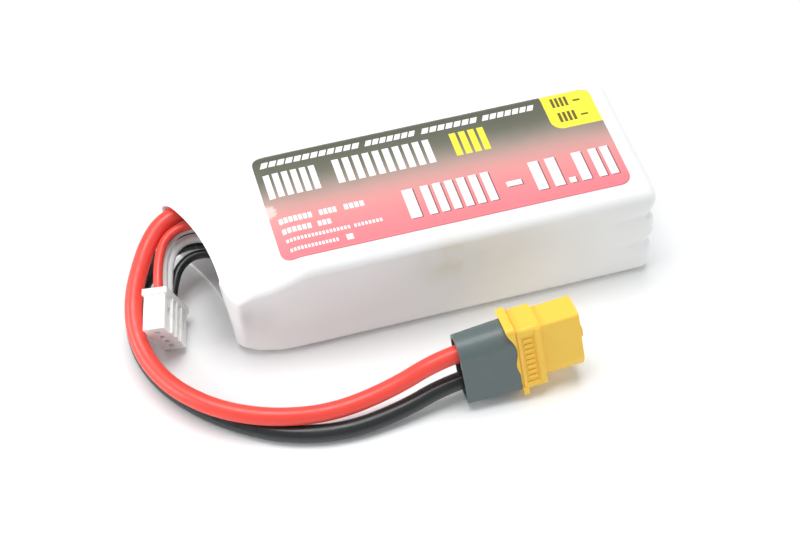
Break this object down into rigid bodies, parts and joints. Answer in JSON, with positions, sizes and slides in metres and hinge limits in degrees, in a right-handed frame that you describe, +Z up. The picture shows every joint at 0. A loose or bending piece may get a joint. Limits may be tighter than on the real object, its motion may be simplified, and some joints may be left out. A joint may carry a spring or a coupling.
{
  "type": "lithium polymer battery pack",
  "caption": "Soft-cased lithium polymer pack in white shrink sleeve, with red and black power leads to a yellow keyed socket connector and a balance lead with a small white plug.",
  "frame": {"origin": "middle of the pack's footprint, on the surface that it lies on", "axes": "+X along the pack away from its leads, +Y to the side away from the connector, +Z up out of the labelled face"},
  "size_m": [0.1122, 0.0596, 0.0254],
  "materials": {
    "shrink_film": "glossy white shrink film",
    "label": "printed film",
    "pouch_foil": "satin laminate",
    "electrode": "matt coated foil",
    "tab_aluminium": "rolled",
    "tab_nickel": "rolled",
    "seal_film": "translucent polypropylene",
    "adhesive": "foam tape",
    "amber_tape": "amber film",
    "circuit_board": "green solder mask",
    "card": "pressed insulating card",
    "foam": "closed-cell foam",
    "solder": "bright solder",
    "lead_red": "soft silicone",
    "lead_black": "soft silicone",
    "wire_white": "soft silicone",
    "copper": "tinned strands",
    "gold": "gold plate",
    "connector_yellow": "moulded nylon, satin",
    "cap_grey": "moulded nylon, satin",
    "plug_white": "moulded nylon",
    "contact_tin": "tin plate"
  },
  "bodies": {
    "root": {"balance_contact_1": "contact_tin", "balance_contact_2": "contact_tin", "balance_contact_3": "contact_tin", "balance_contact_4": "contact_tin", "balance_plug_housing": "plug_white", "balance_solder_joints": "solder", "balance_wire_1": "lead_red", "balance_wire_2": "wire_white", "balance_wire_3": "wire_white", "balance_wire_4": "lead_black", "cell_adhesive_pad_1": "adhesive", "cell_adhesive_pad_2": "adhesive", "cell_pouch_1": "pouch_foil", "cell_pouch_2": "pouch_foil", "cell_pouch_3": "pouch_foil", "electrode_stack_1": "electrode", "electrode_stack_2": "electrode", "electrode_stack_3": "electrode", "end_foam_pad": "foam", "lead_solder_joints": "solder", "main_connector_housing": "connector_yellow", "main_lead_negative": "lead_black", "main_lead_positive": "lead_red", "negative_lead_strands": "copper", "negative_socket": "gold", "negative_tab_1": "tab_nickel", "negative_tab_2": "tab_nickel", "negative_tab_3": "tab_nickel", "positive_lead_strands": "copper", "positive_socket": "gold", "positive_tab_1": "tab_aluminium", "positive_tab_2": "tab_aluminium", "positive_tab_3": "tab_aluminium", "shrink_sleeve": "shrink_film", "socket_solder": "solder", "stack_tape_bands": "amber_tape", "tab_seal_films": "seal_film", "tab_solder_joints": "solder", "terminal_board": "circuit_board", "terminal_card": "card", "terminal_foam": "foam", "top_label": "label"},
    "rear_cap": {"connector_rear_cap": "cap_grey"}
  },
  "joints": [
    {"name": "rear_cap_slide", "type": "slide", "parent": "root", "child": "rear_cap", "axis": [-0.9951, 0, -0.0993], "range_m": [0, 0.006]}
  ]
}
